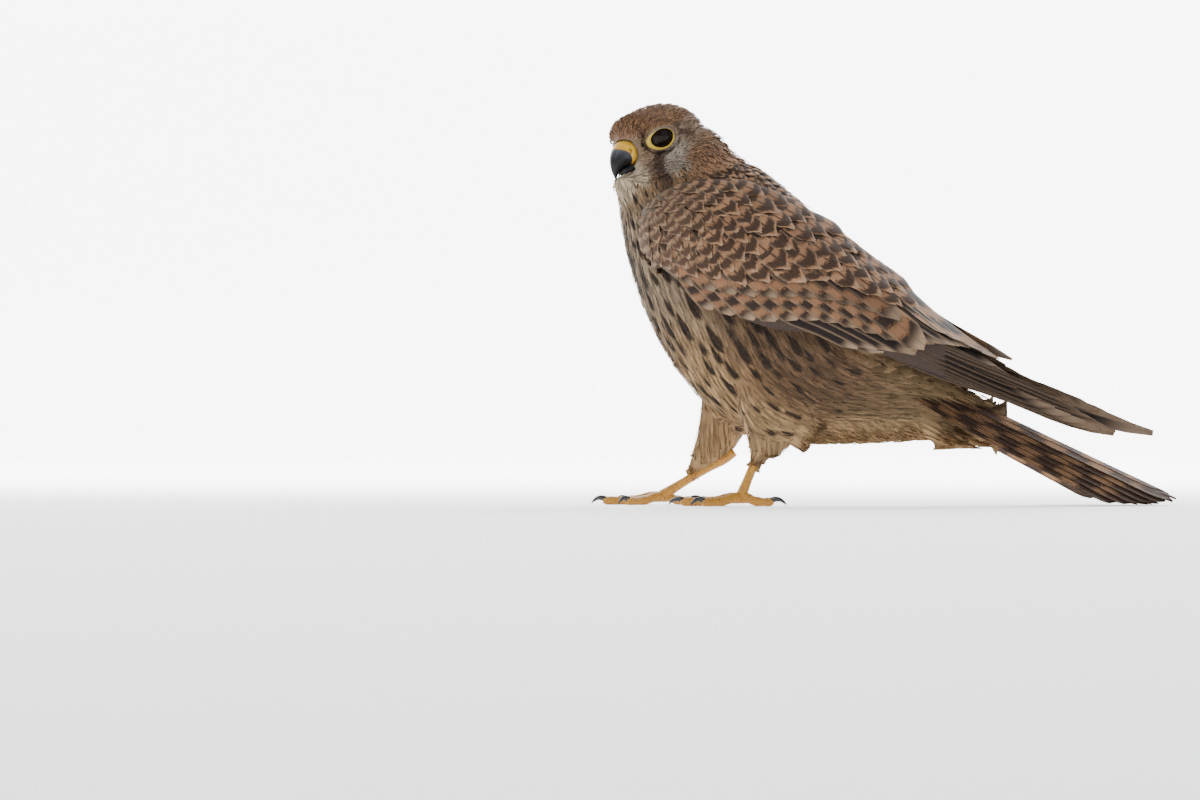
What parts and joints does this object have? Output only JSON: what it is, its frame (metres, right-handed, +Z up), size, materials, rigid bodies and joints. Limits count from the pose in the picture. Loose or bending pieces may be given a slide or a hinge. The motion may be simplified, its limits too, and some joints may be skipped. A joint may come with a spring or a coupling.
{
  "type": "common kestrel",
  "caption": "Life-size still model of a standing female-type common kestrel, head turned to its left, wings folded, tail tip resting on the floor.",
  "frame": {"origin": "on the floor, under the middle of the bird's overall length and width", "axes": "+Z up, the bird faces -X, its left side faces -Y"},
  "size_m": [0.2744, 0.1022, 0.1884],
  "materials": {
    "plumage_head": "matte",
    "plumage_buff": "matte",
    "tail_feathers": "satin",
    "wing_feathers": "satin",
    "bare_skin": "satin",
    "bill_horn": "semi-gloss",
    "claw_horn": "semi-gloss",
    "eye": "gloss"
  },
  "bodies": {
    "root": {"head": "plumage_head", "cere": "bare_skin", "bill_upper": "bill_horn", "bill_lower": "bill_horn", "lids_left": "bare_skin", "lids_right": "bare_skin", "eye_left": "eye", "eye_right": "eye", "neck": "plumage_buff", "torso": "plumage_buff", "tail": "tail_feathers", "wing_left": "wing_feathers", "wing_right": "wing_feathers", "thigh_left": "plumage_buff", "thigh_right": "plumage_buff", "shank_left": "bare_skin", "shank_right": "bare_skin", "foot_left": "bare_skin", "foot_right": "bare_skin", "claw_left_inner": "claw_horn", "claw_left_middle": "claw_horn", "claw_left_outer": "claw_horn", "claw_left_hind": "claw_horn", "claw_right_inner": "claw_horn", "claw_right_middle": "claw_horn", "claw_right_outer": "claw_horn", "claw_right_hind": "claw_horn"}
  },
  "joints": []
}
